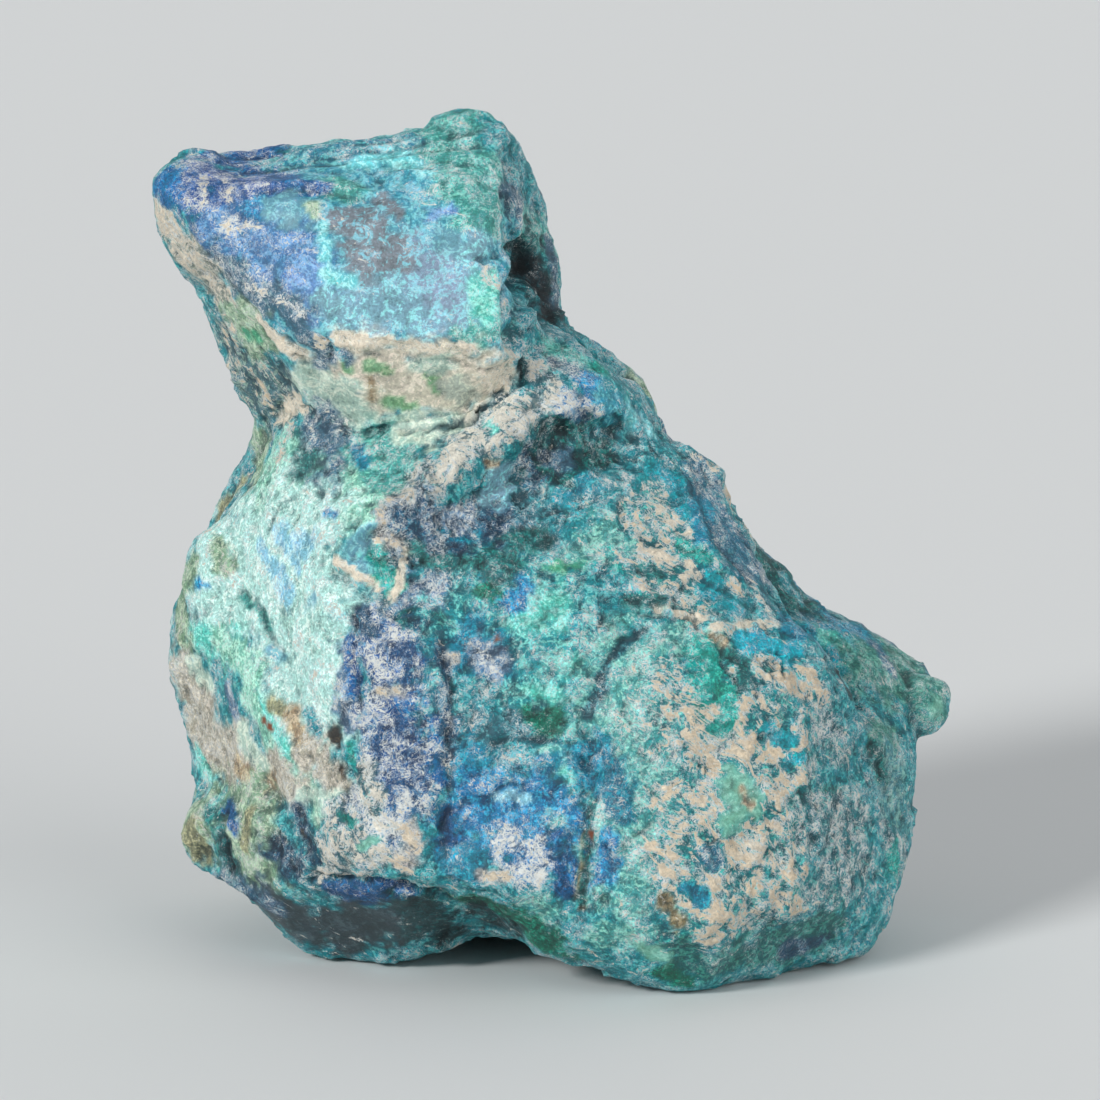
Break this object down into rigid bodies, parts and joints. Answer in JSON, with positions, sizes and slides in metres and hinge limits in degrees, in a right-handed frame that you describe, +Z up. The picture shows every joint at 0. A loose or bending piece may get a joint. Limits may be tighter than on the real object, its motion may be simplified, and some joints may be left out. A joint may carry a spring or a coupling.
{
  "type": "rough chrysocolla specimen",
  "caption": "Rough unpolished lump of chrysocolla with azurite and pale crusts, with an overhanging head, broken ledges and a side spur, standing on its own worn base.",
  "frame": {"origin": "middle of the footprint's bounding box, on the surface that the stone stands on", "axes": "+Z up through the head, +X towards the side spur, -Y out of the face with the blue ledge"},
  "size_m": [0.126, 0.0862, 0.1322],
  "materials": {
    "chrysocolla": "rough broken blue-green copper mineral with cream crusts, dull to slightly waxy"
  },
  "bodies": {
    "root": {"chrysocolla_stone": "chrysocolla"}
  },
  "joints": []
}
